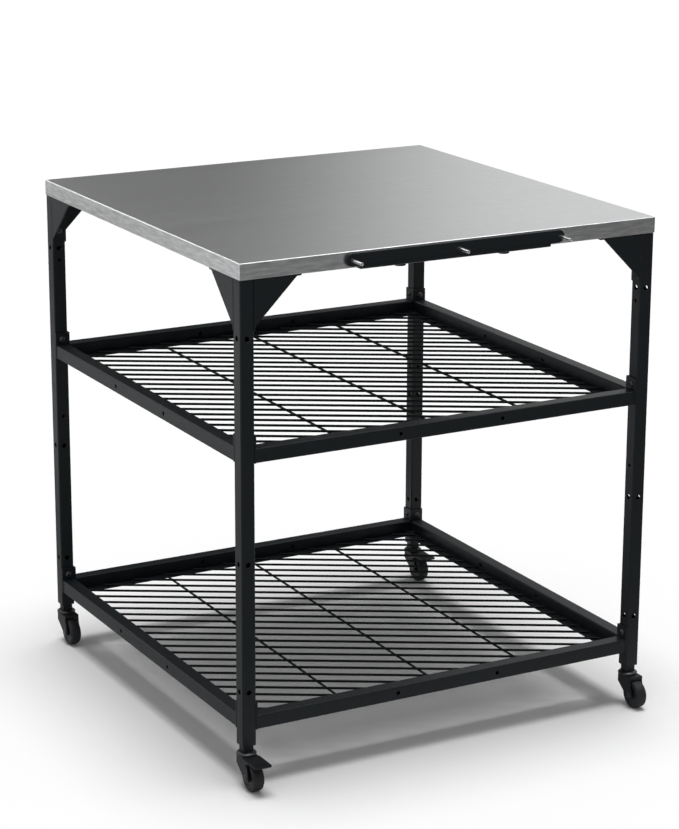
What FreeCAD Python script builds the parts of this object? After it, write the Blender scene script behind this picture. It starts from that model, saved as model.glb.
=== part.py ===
"""Outdoor pizza oven table on casters.

A square stainless worktop stands on four square tube legs. Two welded wire shelves are bolted
between the legs, folded gussets brace the worktop, a bar with three pegs hangs on its front
edge, and four swivel casters, two of them with brakes, carry the table.

Millimetres. +X runs right along the front edge, +Y runs to the back and +Z is up. The origin is
on the floor, in the middle of the table's outer box.
"""

import FreeCAD, Part
import math
import os

# Worktop: a folded stainless tray, open below
SIDE = 800.0
HEIGHT = 900.0
TRAY_DEPTH = 28.0
SHEET = 1.5
TRAY_LIP = 30.0
TRAY_EDGE_CUT = 1.2
TRAY_CORNER_CUT = 0.9
STIFFENER_CROWN = 44.0
STIFFENER_FLANGE = 16.0
STIFFENER_PITCH = 230.0

# Legs: square tube, cross drilled, with holes for three heights of the upper shelf
TUBE = 25.0
WALL = 1.5
TUBE_CUT = 0.9
LEG_INSET = 1.0
LEG_FOOT = 75.0
LINK_HOLE_R = 4.5
LINK_HOLE_Z = (170.0, 775.0)
MIDDLE_HOLE_Z = 394.0
SHELF_STEP = 150.0

# Gussets: folded triangular brackets between the legs and the worktop
GUSSET_REACH = 78.0
GUSSET_SHEET = 2.5
GUSSET_FLANGE = 24.0
GUSSET_TAIL = 8.0
GUSSET_BOLT_DROP = 64.0
GUSSET_SCREW = 52.0

# Shelves: tube rails welded to angle brackets, round a panel of slanted wires
UPPER_SHELF_Z = 566.0
LOWER_SHELF_Z = 102.0
RAIL_INSET = 1.0
RAIL_HOLE_R = 3.5
RAIL_HOLE_X = 100.0
ANGLE_THICK = 3.0
ANGLE_RISE = 23.0
BOLT_RISE = 11.0
STRIP_WIDE = 28.0
STRIP_THICK = 2.0
STRIP_CLIP = 8.0
WIRE_R = 2.0
WIRE_PITCH = 32.1
WIRE_ANGLE = -30.0
WIRE_END_GAP = 5.0
CROSS_WIRE_X = 183.5

# Fasteners
BOLT_R = 3.0
BOLT_CLEAR_R = 3.3
BOLT_HEAD_R = 5.5
BOLT_HEAD_H = 3.2
BOLT_TIP = 5.0
NUT_AF = 10.0
NUT_H = 5.0
SCREW_R = 2.5
SCREW_HEAD_R = 4.6
SCREW_HEAD_H = 2.4
SCREW_TIP = 6.0

# Tool bar on the front edge
BAR_LONG = 420.0
BAR_HIGH = 22.0
BAR_THICK = 6.0
BAR_MID_Z = 886.3
CLAMP_LONG = 366.0
CLAMP_DEEP = 34.0
CLAMP_THICK = 2.5
PEG_PITCH = 200.0
PEG_R = 3.0
PEG_LONG = 34.0
PEG_TENON_R = 2.5
KNOB_X = 100.0
KNOB_SETBACK = 13.0
KNOB_R = 10.5
KNOB_H = 5.0
KNOB_FLUTES = 12
KNOB_FLUTE_DEEP = 0.9
KNOB_SHANK = 14.0

# Casters, measured from the swivel axis; the wheel trails towards the front
WHEEL_R = 25.0
WHEEL_WIDE = 20.0
TYRE_CROWN = 1.4
RIM_R = 17.0
TRAIL = 25.0
AXLE_R = 3.0
AXLE_HEAD_R = 4.8
AXLE_HEAD_H = 1.4
RUN_GAP = 0.02
FORK_WIDE = 28.0
FORK_SLOT = 22.0
FORK_TOP = 57.5
FORK_ROOF = 51.5
FORK_ROUND_R = 17.0
FORK_FRONT = 27.0
FORK_BACK = 15.0
FORK_BOSS_R = 8.0
BOSS_STEPS = 5
KINGPIN_R = 3.0
KINGPIN_HEAD_R = 6.0
KINGPIN_HEAD_H = 1.2
CAP_R = 17.3
CAP_BOTTOM = 57.8
CAP_TOP = 63.5
STEM_R = 5.0
STEM_TOP = 98.0
PLUG_NECK = 18.5
PLUG_LONG = 30.0
PLUG_GAP = 0.1
PEDAL_PIVOT_Y = -22.0
PEDAL_PIVOT_Z = 49.0
PEDAL_PIN_R = 2.0
PEDAL_CHEEK = 1.5
PEDAL_GAP = 0.2
PEDAL_BACK = 17.8
PEDAL_FRONT = 65.0
PEDAL_TOP = 57.3
PEDAL_THICK = 2.8
PEDAL_EYE_R = 4.2
BRAKED = ("front_left", "back_right")

# Sides of the polygons that stand for small round forms
SHANK_SIDES = 4
WIRE_SIDES = 4
HEX_SIDES = 6
PIN_SIDES = 8
TURNED_SIDES = 12
TYRE_SIDES = 20

# Worked out from the sizes above
TOP_Z = HEIGHT
LIP_Z = HEIGHT - TRAY_DEPTH
LEG_OUT = SIDE / 2 - LEG_INSET
LEG_IN = LEG_OUT - TUBE
LEG_MID = LEG_OUT - TUBE / 2
RAIL_OUT = LEG_OUT - RAIL_INSET
RAIL_IN = RAIL_OUT - TUBE
RAIL_END = LEG_IN - ANGLE_THICK
BAR_FACE = -SIDE / 2 - BAR_THICK
FRONT_REACH = LEG_MID + PEDAL_FRONT
BACK_REACH = LEG_MID + CAP_R
SHIFT_Y = (FRONT_REACH - BACK_REACH) / 2
CORNERS = {"front_left": (-1, -1), "front_right": (1, -1), "back_left": (-1, 1), "back_right": (1, 1)}
SIDES = {"front": 0, "right": 90, "back": 180, "left": 270}
SIDE_ENDS = {"front": ("left", "right"), "right": ("front", "back"), "back": ("right", "left"),
             "left": ("back", "front")}


def vec(x, y, z=0.0):
    return FreeCAD.Vector(x, y, z)


def box(x0, x1, y0, y1, z0, z1):
    """A block given by its two extreme corners, in any order."""
    low = vec(min(x0, x1), min(y0, y1), min(z0, z1))
    return Part.makeBox(abs(x1 - x0), abs(y1 - y0), abs(z1 - z0), low)


def rod(radius, start, along):
    """A round bar from start, along the vector along."""
    return Part.makeCylinder(radius, along.Length, start, along)


def ring(radius, sides):
    """Points of a regular polygon with its flats up and down, its mean radius that of the circle."""
    outer = 2 * radius / (1 + math.cos(math.pi / sides))
    angles = [math.pi * (0.5 + (2 * i + 1) / sides) for i in range(sides)]
    return [(outer * math.cos(a), outer * math.sin(a)) for a in angles]


def prism(radius, sides, start, along):
    """A bar like rod's, with flat sides; lying bars have a flat on top."""
    z = vec(0, 0, 1)
    u, v = (vec(1, 0), vec(0, 1)) if abs(along.z) > 1e-6 else ((z.cross(along)).normalize(), z)
    points = [start + u * p + v * q for p, q in ring(radius, sides)]
    return Part.Face(Part.makePolygon(points + [points[0]])).extrude(along)


def mean_radius(reach, sides):
    """The mean radius of a polygon whose flats lie this far from its middle."""
    return reach * (1 + 1 / math.cos(math.pi / sides)) / 2


def running_bore(radius, start, along):
    """A flat sided bore that a round pin of this radius runs in, clear all round."""
    return prism(mean_radius(radius + RUN_GAP, PIN_SIDES), PIN_SIDES, start, along)


def polygon_face(points):
    return Part.Face(Part.makePolygon(list(points) + [points[0]]))


def turned(profile, sides):
    """A turned piece about Z with flat sides, from (radius, height) points, from axis to axis."""
    rings = [[vec(p, q, z) for p, q in ring(r, sides)] if r else [vec(0, 0, z)] for r, z in profile]
    faces = []
    for low, high in zip(rings, rings[1:]):
        if len(low) == 1 or len(high) == 1:
            faces.append(polygon_face(high if len(low) == 1 else low))
        elif low[0].z == high[0].z:
            outer, inner = sorted((low, high), key=lambda points: -points[0].Length)
            faces.append(polygon_face(outer).cut(polygon_face(inner)).Faces[0])
        else:
            for i in range(sides):
                j = (i + 1) % sides
                faces.append(polygon_face([low[i], low[j], high[j], high[i]]))
    solid = Part.makeSolid(Part.makeShell(faces))
    if solid.Volume < 0:
        solid.reverse()
    return solid


def slab(points, depth):
    """A flat piece: (x, y) points, extruded by the vector depth."""
    corners = [vec(*p) if len(p) == 3 else vec(p[0], p[1]) for p in points]
    return Part.Face(Part.makePolygon(corners + [corners[0]])).extrude(depth)


def upright_edges(shape):
    """The straight edges of a shape that run along Z."""
    found = []
    for edge in shape.Edges:
        a, b = edge.Vertexes[0].Point, edge.Vertexes[-1].Point
        if abs(a.x - b.x) < 1e-6 and abs(a.y - b.y) < 1e-6:
            found.append(edge)
    return found


def square_tube(length):
    """Square tube with eased corners, its centre line on Z, standing on the origin."""
    h = TUBE / 2
    outer = box(-h, h, -h, h, 0, length)
    outer = outer.makeChamfer(TUBE_CUT, upright_edges(outer))
    return outer.cut(box(-h + WALL, h - WALL, -h + WALL, h - WALL, 0, length))


def aimed(shape, direction):
    """Turns a piece that was built along +Z so that it points along direction."""
    turn = FreeCAD.Rotation(vec(0, 0, 1), direction)
    moved = shape.copy()
    moved.Placement = FreeCAD.Placement(vec(0, 0, 0), turn)
    return moved


def at(shape, x, y, z=0.0):
    moved = shape.copy()
    moved.translate(vec(x, y, z))
    return moved


def spun(shape, degrees):
    """Turns a piece about the table's upright middle axis."""
    moved = shape.copy()
    moved.rotate(vec(0, 0, 0), vec(0, 0, 1), degrees)
    return moved


def around(shapes):
    """Copies of the front side's pieces on all four sides."""
    return [spun(shape, turn) for turn in SIDES.values() for shape in shapes]


def save(name, shape):
    """Writes one node, moved so that the origin is in the middle of the outer box."""
    at(shape, 0, SHIFT_Y).exportStep(f"parts/{name}.step")


def worktop_tray():
    """The stainless top: skirts folded down on four sides, with lips turned in under it."""
    h = SIDE / 2
    body = box(-h, h, -h, h, LIP_Z, TOP_Z)
    body = body.makeChamfer(TRAY_CORNER_CUT, upright_edges(body))
    rim = [e for e in body.Edges if all(abs(v.Point.z - TOP_Z) < 1e-6 for v in e.Vertexes)]
    body = body.makeChamfer(TRAY_EDGE_CUT, rim)
    i = h - SHEET
    body = body.cut(box(-i, i, -i, i, LIP_Z + SHEET, TOP_Z - SHEET))
    m = h - TRAY_LIP
    body = body.cut(box(-m, m, -m, m, LIP_Z - 1, LIP_Z + SHEET + 1))
    holes = screw_shanks(LIP_Z - 1, LIP_Z + SHEET + 1)
    holes += knob_shanks(LIP_Z - 1, LIP_Z + SHEET + 1)
    return body.cut(Part.makeCompound(holes))


def worktop_stiffeners():
    """Hat channels that span the tray from lip to lip and hold up the sheet."""
    deep = TRAY_DEPTH - 2 * SHEET
    c = STIFFENER_CROWN / 2
    f = c + STIFFENER_FLANGE
    t = SHEET
    outline = [(-f, 0), (-c, 0), (-c, -deep + t), (c, -deep + t), (c, 0), (f, 0), (f, -t),
               (c + t, -t), (c + t, -deep), (-c - t, -deep), (-c - t, -t), (-f, -t)]
    half = SIDE / 2 - SHEET
    hat = slab([(x, -half, TOP_Z - SHEET + z) for x, z in outline], vec(0, 2 * half, 0))
    return Part.makeCompound([at(hat, k * STIFFENER_PITCH, 0) for k in (-1, 0, 1)])


def shelf_bolt_z(bottom):
    return bottom + TUBE + BOLT_RISE


def leg_bolt_heights():
    """Threads in a leg: one for the lower shelf, three for the upper one and one for the gusset."""
    upper = shelf_bolt_z(UPPER_SHELF_Z)
    return [shelf_bolt_z(LOWER_SHELF_Z), upper - SHELF_STEP, upper, upper + SHELF_STEP,
            LIP_Z - GUSSET_BOLT_DROP]


def bolt_shanks(z, x0, x1):
    """Bars for the two bolts of every leg at one height, from x0 to x1 out from the middle."""
    return around([prism(BOLT_R, SHANK_SIDES, vec(s * LEG_MID, -x0, z), vec(0, x0 - x1, 0))
                   for s in (-1, 1)])


def leg(sx, sy):
    """One leg: link holes through all four faces, bolt holes in its two inner faces."""
    x, y = sx * LEG_MID, sy * LEG_MID
    tube = at(square_tube(LIP_Z - LEG_FOOT), x, y, LEG_FOOT)
    out_x, out_y = vec(sx * (TUBE / 2 + 1), 0, 0), vec(0, sy * (TUBE / 2 + 1), 0)
    holes = [rod(LINK_HOLE_R, vec(x, y, z), out_x) for z in LINK_HOLE_Z]
    holes.append(prism(LINK_HOLE_R, PIN_SIDES, vec(x, y, MIDDLE_HOLE_Z), out_x))
    for z in LINK_HOLE_Z + (MIDDLE_HOLE_Z,):
        holes.append(prism(LINK_HOLE_R, PIN_SIDES, vec(x, y, z), out_y))
        for along in (out_x * -1, out_y * -1):
            holes.append(prism(LINK_HOLE_R, HEX_SIDES, vec(x, y, z), along))
    for z in leg_bolt_heights():
        holes += bolt_shanks(z, LEG_IN - 1, LEG_IN + WALL + 1)
    return tube.cut(Part.makeCompound(holes))


def gusset():
    """The bracket beside the front left leg that lies flush with its front face."""
    reach, t = GUSSET_REACH, GUSSET_SHEET
    x0, y0, z0 = -LEG_IN, -LEG_OUT, LIP_Z
    plate = slab([(x0, y0, z0), (x0 + reach, y0, z0), (x0 + reach, y0, z0 - t),
                  (x0 + t, y0, z0 - reach), (x0, y0, z0 - reach)], vec(0, t, 0))
    top = box(x0, x0 + reach + GUSSET_TAIL, y0, y0 + GUSSET_FLANGE, z0 - t, z0)
    side = box(x0, x0 + t, y0, y0 + GUSSET_FLANGE, z0 - reach - GUSSET_TAIL, z0)
    body = plate.fuse([top, side]).removeSplitter()
    holes = screw_shanks(z0 - t - 1, z0 + 1)
    holes.append(prism(BOLT_CLEAR_R, SHANK_SIDES, vec(x0 - 1, -LEG_MID, z0 - GUSSET_BOLT_DROP),
                       vec(t + 2, 0, 0)))
    return body.cut(Part.makeCompound(holes))


def mirrored_x(shape):
    return shape.mirror(vec(0, 0, 0), vec(1, 0, 0))


def save_gussets():
    """All eight brackets, each named after its side of the table and the end of that side."""
    pair = (gusset(), mirrored_x(gusset()))
    for side, turn in SIDES.items():
        for end, shape in zip(SIDE_ENDS[side], pair):
            save(f"gusset_{side}_{end}", spun(shape, turn))


def screw_bars(radius, sides, z0, z1):
    """Upright bars where the screws of the gussets go up into the tray's lips."""
    x = LEG_IN - GUSSET_SCREW
    return around([prism(radius, sides, vec(s * x, -LEG_MID, z0), vec(0, 0, z1 - z0)) for s in (-1, 1)])


def screw_shanks(z0, z1):
    return screw_bars(SCREW_R, SHANK_SIDES, z0, z1)


def worktop_screws():
    """Screws that hold the gussets to the worktop, from below."""
    seat = LIP_Z - GUSSET_SHEET
    heads = screw_bars(SCREW_HEAD_R, HEX_SIDES, seat - SCREW_HEAD_H, seat)
    shanks = screw_shanks(seat, LIP_Z + SCREW_TIP)
    return Part.makeCompound([head.fuse(shank) for head, shank in zip(heads, shanks)])


def frame_bolts():
    """The bolts through shelf angles and gussets into the legs' inner faces."""
    bolts = []
    for z, thick in ((shelf_bolt_z(LOWER_SHELF_Z), ANGLE_THICK), (shelf_bolt_z(UPPER_SHELF_Z), ANGLE_THICK),
                     (LIP_Z - GUSSET_BOLT_DROP, GUSSET_SHEET)):
        seat = LEG_IN - thick
        for s in (-1, 1):
            start = vec(s * LEG_MID, -seat, z)
            head = prism(BOLT_HEAD_R, HEX_SIDES, start, vec(0, BOLT_HEAD_H, 0))
            shank = prism(BOLT_R, SHANK_SIDES, start, vec(0, -thick - WALL - BOLT_TIP, 0))
            bolts += around([head.fuse(shank)])
    return Part.makeCompound(bolts)


def weld_nuts():
    """Nuts welded on the tray's lip for the hand screws."""
    r = mean_radius(NUT_AF / 2, HEX_SIDES)
    lip = LIP_Z + SHEET
    nuts = []
    for bore in knob_shanks(lip - 1, lip + NUT_H + 1):
        middle = bore.BoundBox.Center
        nuts.append(prism(r, HEX_SIDES, vec(middle.x, middle.y, lip), vec(0, 0, NUT_H)).cut(bore))
    return Part.makeCompound(nuts)


def rail(bottom):
    """The front rail of a shelf, with two holes through both walls."""
    h = TUBE / 2
    tube = square_tube(2 * RAIL_END)
    tube.rotate(vec(0, 0, 0), vec(0, 1, 0), 90)
    tube = at(tube, -RAIL_END, -RAIL_OUT + h, bottom + h)
    holes = [prism(RAIL_HOLE_R, HEX_SIDES, vec(x, -RAIL_OUT - 1, bottom + h), vec(0, TUBE + 2, 0))
             for x in (-RAIL_HOLE_X, RAIL_HOLE_X)]
    return tube.cut(Part.makeCompound(holes))


def shelf_angles(bottom):
    """Four upright angles on the legs' inner faces, which the rails are welded to."""
    i, t = LEG_IN, ANGLE_THICK
    top = bottom + TUBE + ANGLE_RISE
    a = i + TUBE
    corner = slab([(i - t, i - t), (a, i - t), (a, i), (i, i), (i, a), (i - t, a)],
                  vec(0, 0, top - bottom))
    corner = at(corner, 0, 0, bottom)
    z = shelf_bolt_z(bottom)
    holes = [prism(BOLT_CLEAR_R, SHANK_SIDES, vec(i - t - 1, LEG_MID, z), vec(t + 2, 0, 0)),
             prism(BOLT_CLEAR_R, SHANK_SIDES, vec(LEG_MID, i - t - 1, z), vec(0, t + 2, 0))]
    corner = corner.cut(Part.makeCompound(holes))
    return Part.makeCompound([spun(corner, turn) for turn in SIDES.values()])


def wire_span(offset, half):
    """Both ends of the slanted line at this offset from the middle, clipped to a square."""
    a = math.radians(WIRE_ANGLE)
    along = vec(math.cos(a), math.sin(a))
    across = vec(-math.sin(a), math.cos(a))
    start = across * offset
    low, high = -4 * half, 4 * half
    for p, d in ((start.x, along.x), (start.y, along.y)):
        ends = sorted(((-half - p) / d, (half - p) / d))
        low, high = max(low, ends[0]), min(high, ends[1])
    return start + along * low, start + along * high


def shelf_panel(bottom):
    """Slanted wires on a frame of flat strip, with three cross wires welded under them."""
    o = RAIL_IN
    i = o - STRIP_WIDE
    c = STRIP_CLIP
    outline = [(-o + c, -o), (o - c, -o), (o, -o + c), (o, o - c),
               (o - c, o), (-o + c, o), (-o, o - c), (-o, -o + c)]
    pieces = [slab(outline, vec(0, 0, STRIP_THICK)).cut(box(-i, i, -i, i, -1, STRIP_THICK + 1))]
    rise = WIRE_R ** 2 / mean_radius(WIRE_R, WIRE_SIDES)
    z = vec(0, 0, STRIP_THICK + rise)
    half = RAIL_IN - WIRE_END_GAP
    slant = math.radians(WIRE_ANGLE)
    count = int(half * (abs(math.sin(slant)) + math.cos(slant)) // WIRE_PITCH)
    for k in range(-count, count + 1):
        start, end = wire_span(k * WIRE_PITCH, half)
        pieces.append(prism(WIRE_R, WIRE_SIDES, start + z, end - start))
    for x in (-CROSS_WIRE_X, 0.0, CROSS_WIRE_X):
        pieces.append(prism(WIRE_R, WIRE_SIDES, vec(x, -i, STRIP_THICK - rise), vec(0, 2 * i, 0)))
    return at(Part.makeCompound(pieces), 0, 0, bottom)


def tool_bar():
    """A round ended bar on the worktop's front edge, with a clamp plate under the tray."""
    r = BAR_HIGH / 2
    x, z = BAR_LONG / 2 - r, BAR_MID_Z
    ends = ring(r, TURNED_SIDES)
    outline = [(x * (1 if p > 0 else -1) + p, BAR_FACE, z + q) for p, q in ends]
    bar = slab(outline, vec(0, BAR_THICK, 0))
    c = CLAMP_LONG / 2
    web = box(-c, c, BAR_FACE, -SIDE / 2, LIP_Z - CLAMP_THICK, z - r + 1)
    clamp = box(-c, c, BAR_FACE, BAR_FACE + CLAMP_DEEP, LIP_Z - CLAMP_THICK, LIP_Z)
    body = bar.fuse([web, clamp]).removeSplitter()
    holes = knob_shanks(LIP_Z - CLAMP_THICK - 1, LIP_Z + 1)
    holes += [prism(PEG_TENON_R, SHANK_SIDES, vec(k * PEG_PITCH, BAR_FACE - 1, z), vec(0, BAR_THICK + 2, 0))
              for k in (-1, 0, 1)]
    return body.cut(Part.makeCompound(holes))


def tool_pegs():
    """Three round stainless pegs, each with a tenon in the bar."""
    pegs = []
    for k in (-1, 0, 1):
        foot = vec(k * PEG_PITCH, BAR_FACE, BAR_MID_Z)
        tenon = prism(PEG_TENON_R, SHANK_SIDES, foot, vec(0, BAR_THICK, 0))
        pegs.append(rod(PEG_R, foot, vec(0, -PEG_LONG, 0)).fuse(tenon))
    return Part.makeCompound(pegs)


def knob_shanks(z0, z1):
    """The shanks of the two hand screws, which go up into the tray's lip."""
    return [prism(BOLT_R, HEX_SIDES, vec(x, -SIDE / 2 + KNOB_SETBACK, z0), vec(0, 0, z1 - z0))
            for x in (-KNOB_X, KNOB_X)]


def hand_screw(side):
    """A fluted knob under the clamp plate; side is 0 for the left one and 1 for the right one."""
    seat = LIP_Z - CLAMP_THICK
    shank = knob_shanks(seat, seat + KNOB_SHANK)[side]
    outline = []
    for i in range(2 * KNOB_FLUTES):
        a = math.pi * i / KNOB_FLUTES
        r = KNOB_R - KNOB_FLUTE_DEEP * (i % 2)
        outline.append((r * math.cos(a), r * math.sin(a), seat - KNOB_H))
    knob = slab(outline, vec(0, 0, KNOB_H))
    x = KNOB_X * (2 * side - 1)
    return at(knob, x, -SIDE / 2 + KNOB_SETBACK).fuse(shank)


def caster_plug():
    """The square plug in the leg's end, with the caster's stem screwed into it."""
    n = PLUG_NECK / 2
    w = TUBE / 2 - WALL - PLUG_GAP
    neck = box(-n, n, -n, n, CAP_TOP, LEG_FOOT)
    body = box(-w, w, -w, w, LEG_FOOT, LEG_FOOT + PLUG_LONG)
    bore = prism(STEM_R, HEX_SIDES, vec(0, 0, CAP_TOP - 1), vec(0, 0, 60))
    return neck.fuse(body).removeSplitter().cut(bore)


def caster_stem():
    """Stem, domed cap and headed kingpin on the swivel axis."""
    head = FORK_ROOF - KINGPIN_HEAD_H - 0.2
    cap = turned([(0, CAP_BOTTOM), (CAP_R, CAP_BOTTOM), (CAP_R, CAP_BOTTOM + 2.6),
                  (CAP_R - 4.6, CAP_TOP), (0, CAP_TOP)], TURNED_SIDES)
    stem = prism(STEM_R, HEX_SIDES, vec(0, 0, CAP_TOP), vec(0, 0, STEM_TOP - CAP_TOP))
    neck = head + KINGPIN_HEAD_H
    pin = rod(KINGPIN_R, vec(0, 0, neck), vec(0, 0, CAP_BOTTOM - neck))
    foot = prism(KINGPIN_HEAD_R, PIN_SIDES, vec(0, 0, head), vec(0, 0, KINGPIN_HEAD_H))
    return cap.fuse([stem, pin, foot])


def tangent_point(outside, centre, radius, side):
    """Where the line from a point outside a circle touches it; side picks which one (+1 or -1)."""
    dx, dy = outside[0] - centre[0], outside[1] - centre[1]
    gap = math.hypot(dx, dy)
    a = math.atan2(dy, dx) + side * math.acos(radius / gap)
    return centre[0] + radius * math.cos(a), centre[1] + radius * math.sin(a)


def fork_outline():
    """The fork's side view in the YZ plane: a hood that narrows to the axle's boss."""
    centre = (-TRAIL, WHEEL_R)
    back = (FORK_BACK, FORK_TOP - 12)
    front = (-FORK_FRONT, FORK_ROOF - 3)
    a = tangent_point(back, centre, FORK_BOSS_R, -1)
    b = tangent_point(front, centre, FORK_BOSS_R, 1)
    first, last = (math.atan2(p[1] - centre[1], p[0] - centre[0]) for p in (a, b))
    if last > first:
        last -= 2 * math.pi
    boss = []
    for i in range(BOSS_STEPS + 1):
        turn = first + (last - first) * i / BOSS_STEPS
        boss.append((centre[0] + FORK_BOSS_R * math.cos(turn), centre[1] + FORK_BOSS_R * math.sin(turn)))
    return [(-FORK_FRONT, FORK_TOP), (FORK_BACK, FORK_TOP), back] + boss + [front]


def fork(braked):
    """A caster's fork; the braked one is open at the front of its roof, under the pedal."""
    w, s = FORK_WIDE / 2, FORK_SLOT / 2
    body = slab([(-w, y, z) for y, z in fork_outline()], vec(FORK_WIDE, 0, 0))
    hood = prism(FORK_ROUND_R, TURNED_SIDES, vec(0, 0, 0), vec(0, 0, FORK_TOP))
    body = body.common(hood.fuse(box(-w, w, -60, 0, 0, FORK_TOP)))
    body = body.cut(box(-s, s, -60, FORK_BACK - 3, 0, FORK_ROOF))
    holes = [running_bore(KINGPIN_R, vec(0, 0, FORK_ROOF - 1), vec(0, 0, 10)),
             prism(mean_radius(AXLE_R, PIN_SIDES), PIN_SIDES, vec(-w - 1, -TRAIL, WHEEL_R),
                   vec(FORK_WIDE + 2, 0, 0))]
    if braked:
        holes.append(box(-w - 1, w + 1, -60, -PEDAL_BACK + 0.3, PEDAL_PIVOT_Z + 4, FORK_TOP + 1))
        holes.append(box(-s, s, -60, -PEDAL_BACK + 0.3, FORK_ROOF - 1, FORK_TOP + 1))
        pivot = vec(-w - 1, PEDAL_PIVOT_Y, PEDAL_PIVOT_Z)
        holes.append(running_bore(PEDAL_PIN_R, pivot, vec(FORK_WIDE + 2, 0, 0)))
    for hole in holes:
        body = body.cut(hole)
    return body


def brake_pedal():
    """A pedal that straddles the fork: plate, two cheeks with pins, and a pad over the tyre."""
    inner = FORK_WIDE / 2 + PEDAL_GAP
    w = inner + PEDAL_CHEEK
    z0 = PEDAL_TOP - PEDAL_THICK
    plate = box(-w, w, -PEDAL_FRONT, -PEDAL_BACK, z0, PEDAL_TOP)
    corners = [e for e in upright_edges(plate) if e.Vertexes[0].Point.y < -PEDAL_FRONT + 1]
    plate = plate.makeChamfer(2.0, corners)
    pieces = [box(-8, 8, -32, -26, 51.8, z0 + 1)]
    pin_mean = PEDAL_PIN_R * (1 + math.cos(math.pi / PIN_SIDES)) / 2
    for s in (-1, 1):
        pivot = vec(s * inner, PEDAL_PIVOT_Y, PEDAL_PIVOT_Z)
        pieces.append(rod(PEDAL_EYE_R, pivot, vec(s * PEDAL_CHEEK, 0, 0)))
        pieces.append(box(s * inner, s * w, PEDAL_PIVOT_Y - PEDAL_EYE_R, -PEDAL_BACK, PEDAL_PIVOT_Z, z0 + 1))
        pieces.append(prism(pin_mean, PIN_SIDES, pivot, vec(s * (FORK_SLOT / 2 + 0.2 - inner), 0, 0)))
    return plate.fuse(pieces).removeSplitter()


def on_axle(half, sides):
    """A piece turned about the wheel's axle, from the (radius, reach) points of its right half."""
    profile = [(0, half[0][1])] + half + [(r, -x) for r, x in reversed(half)] + [(0, -half[0][1])]
    return at(aimed(turned(profile, sides), vec(1, 0, 0)), 0, -TRAIL, WHEEL_R)


def wheel_hub():
    """The rim with its web and boss."""
    w = WHEEL_WIDE / 2
    half = [(6.0, w + 0.6), (6.0, w - 1.4), (RIM_R, w - 1.4)]
    bore = running_bore(AXLE_R, vec(-w - 1, -TRAIL, WHEEL_R), vec(WHEEL_WIDE + 2, 0, 0))
    return on_axle(half, TURNED_SIDES).cut(bore)


def wheel_tyre():
    """The tread, slightly crowned, with rounded shoulders."""
    w, r = WHEEL_WIDE / 2, mean_radius(WHEEL_R, TYRE_SIDES)
    half = [(r - 2.6, w), (r, w - 3.4)]
    tyre = on_axle(half, TYRE_SIDES)
    reach = w + 1
    rim = aimed(prism(RIM_R, TURNED_SIDES, vec(0, 0, -reach), vec(0, 0, 2 * reach)), vec(1, 0, 0))
    return tyre.cut(at(rim, 0, -TRAIL, WHEEL_R))


def wheel_axle():
    """A pin through the fork's bosses, with a low head at both ends."""
    w = FORK_WIDE / 2
    pin = rod(AXLE_R, vec(-w, -TRAIL, WHEEL_R), vec(FORK_WIDE, 0, 0))
    heads = [prism(AXLE_HEAD_R, HEX_SIDES, vec(s * w, -TRAIL, WHEEL_R), vec(s * AXLE_HEAD_H, 0, 0))
             for s in (-1, 1)]
    return pin.fuse(heads)


def save_casters():
    for name, (sx, sy) in CORNERS.items():
        braked = name in BRAKED
        pieces = {"leg_plug": caster_plug(), "caster_stem": caster_stem(), "caster_fork": fork(braked),
                  "wheel_hub": wheel_hub(), "wheel_tyre": wheel_tyre(), "wheel_axle": wheel_axle()}
        if braked:
            pieces["brake_pedal"] = brake_pedal()
        for piece, shape in pieces.items():
            save(f"{piece}_{name}", at(shape, sx * LEG_MID, sy * LEG_MID))


def save_shelves():
    for shelf, bottom in (("upper", UPPER_SHELF_Z), ("lower", LOWER_SHELF_Z)):
        front = rail(bottom)
        for side, turn in SIDES.items():
            save(f"{shelf}_rail_{side}", spun(front, turn))
        save(f"{shelf}_shelf_angles", shelf_angles(bottom))
        save(f"{shelf}_wire_panel", shelf_panel(bottom))


def main():
    os.makedirs("parts", exist_ok=True)
    save("worktop_tray", worktop_tray())
    save("worktop_stiffeners", worktop_stiffeners())
    save("worktop_screws", worktop_screws())
    for name, (sx, sy) in CORNERS.items():
        save(f"leg_{name}", leg(sx, sy))
    save_gussets()
    save_shelves()
    save("frame_bolts", frame_bolts())
    save("weld_nuts", weld_nuts())
    save("tool_bar", tool_bar())
    save("tool_pegs", tool_pegs())
    save("hand_screw_left", hand_screw(0))
    save("hand_screw_right", hand_screw(1))
    save_casters()


main()
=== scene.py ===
# %% [markdown]
# # An outdoor table for a table-top oven
#
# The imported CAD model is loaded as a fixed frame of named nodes. The finishes are built first, and
# the cells after them dress the frame: sheet metal gets its rolled edges, tubes their drilled holes,
# shelves their round wires and casters their turned and moulded forms. Light and the camera come
# last.

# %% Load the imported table
import math

import bmesh
import bpy
from mathutils import Matrix, Vector


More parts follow.
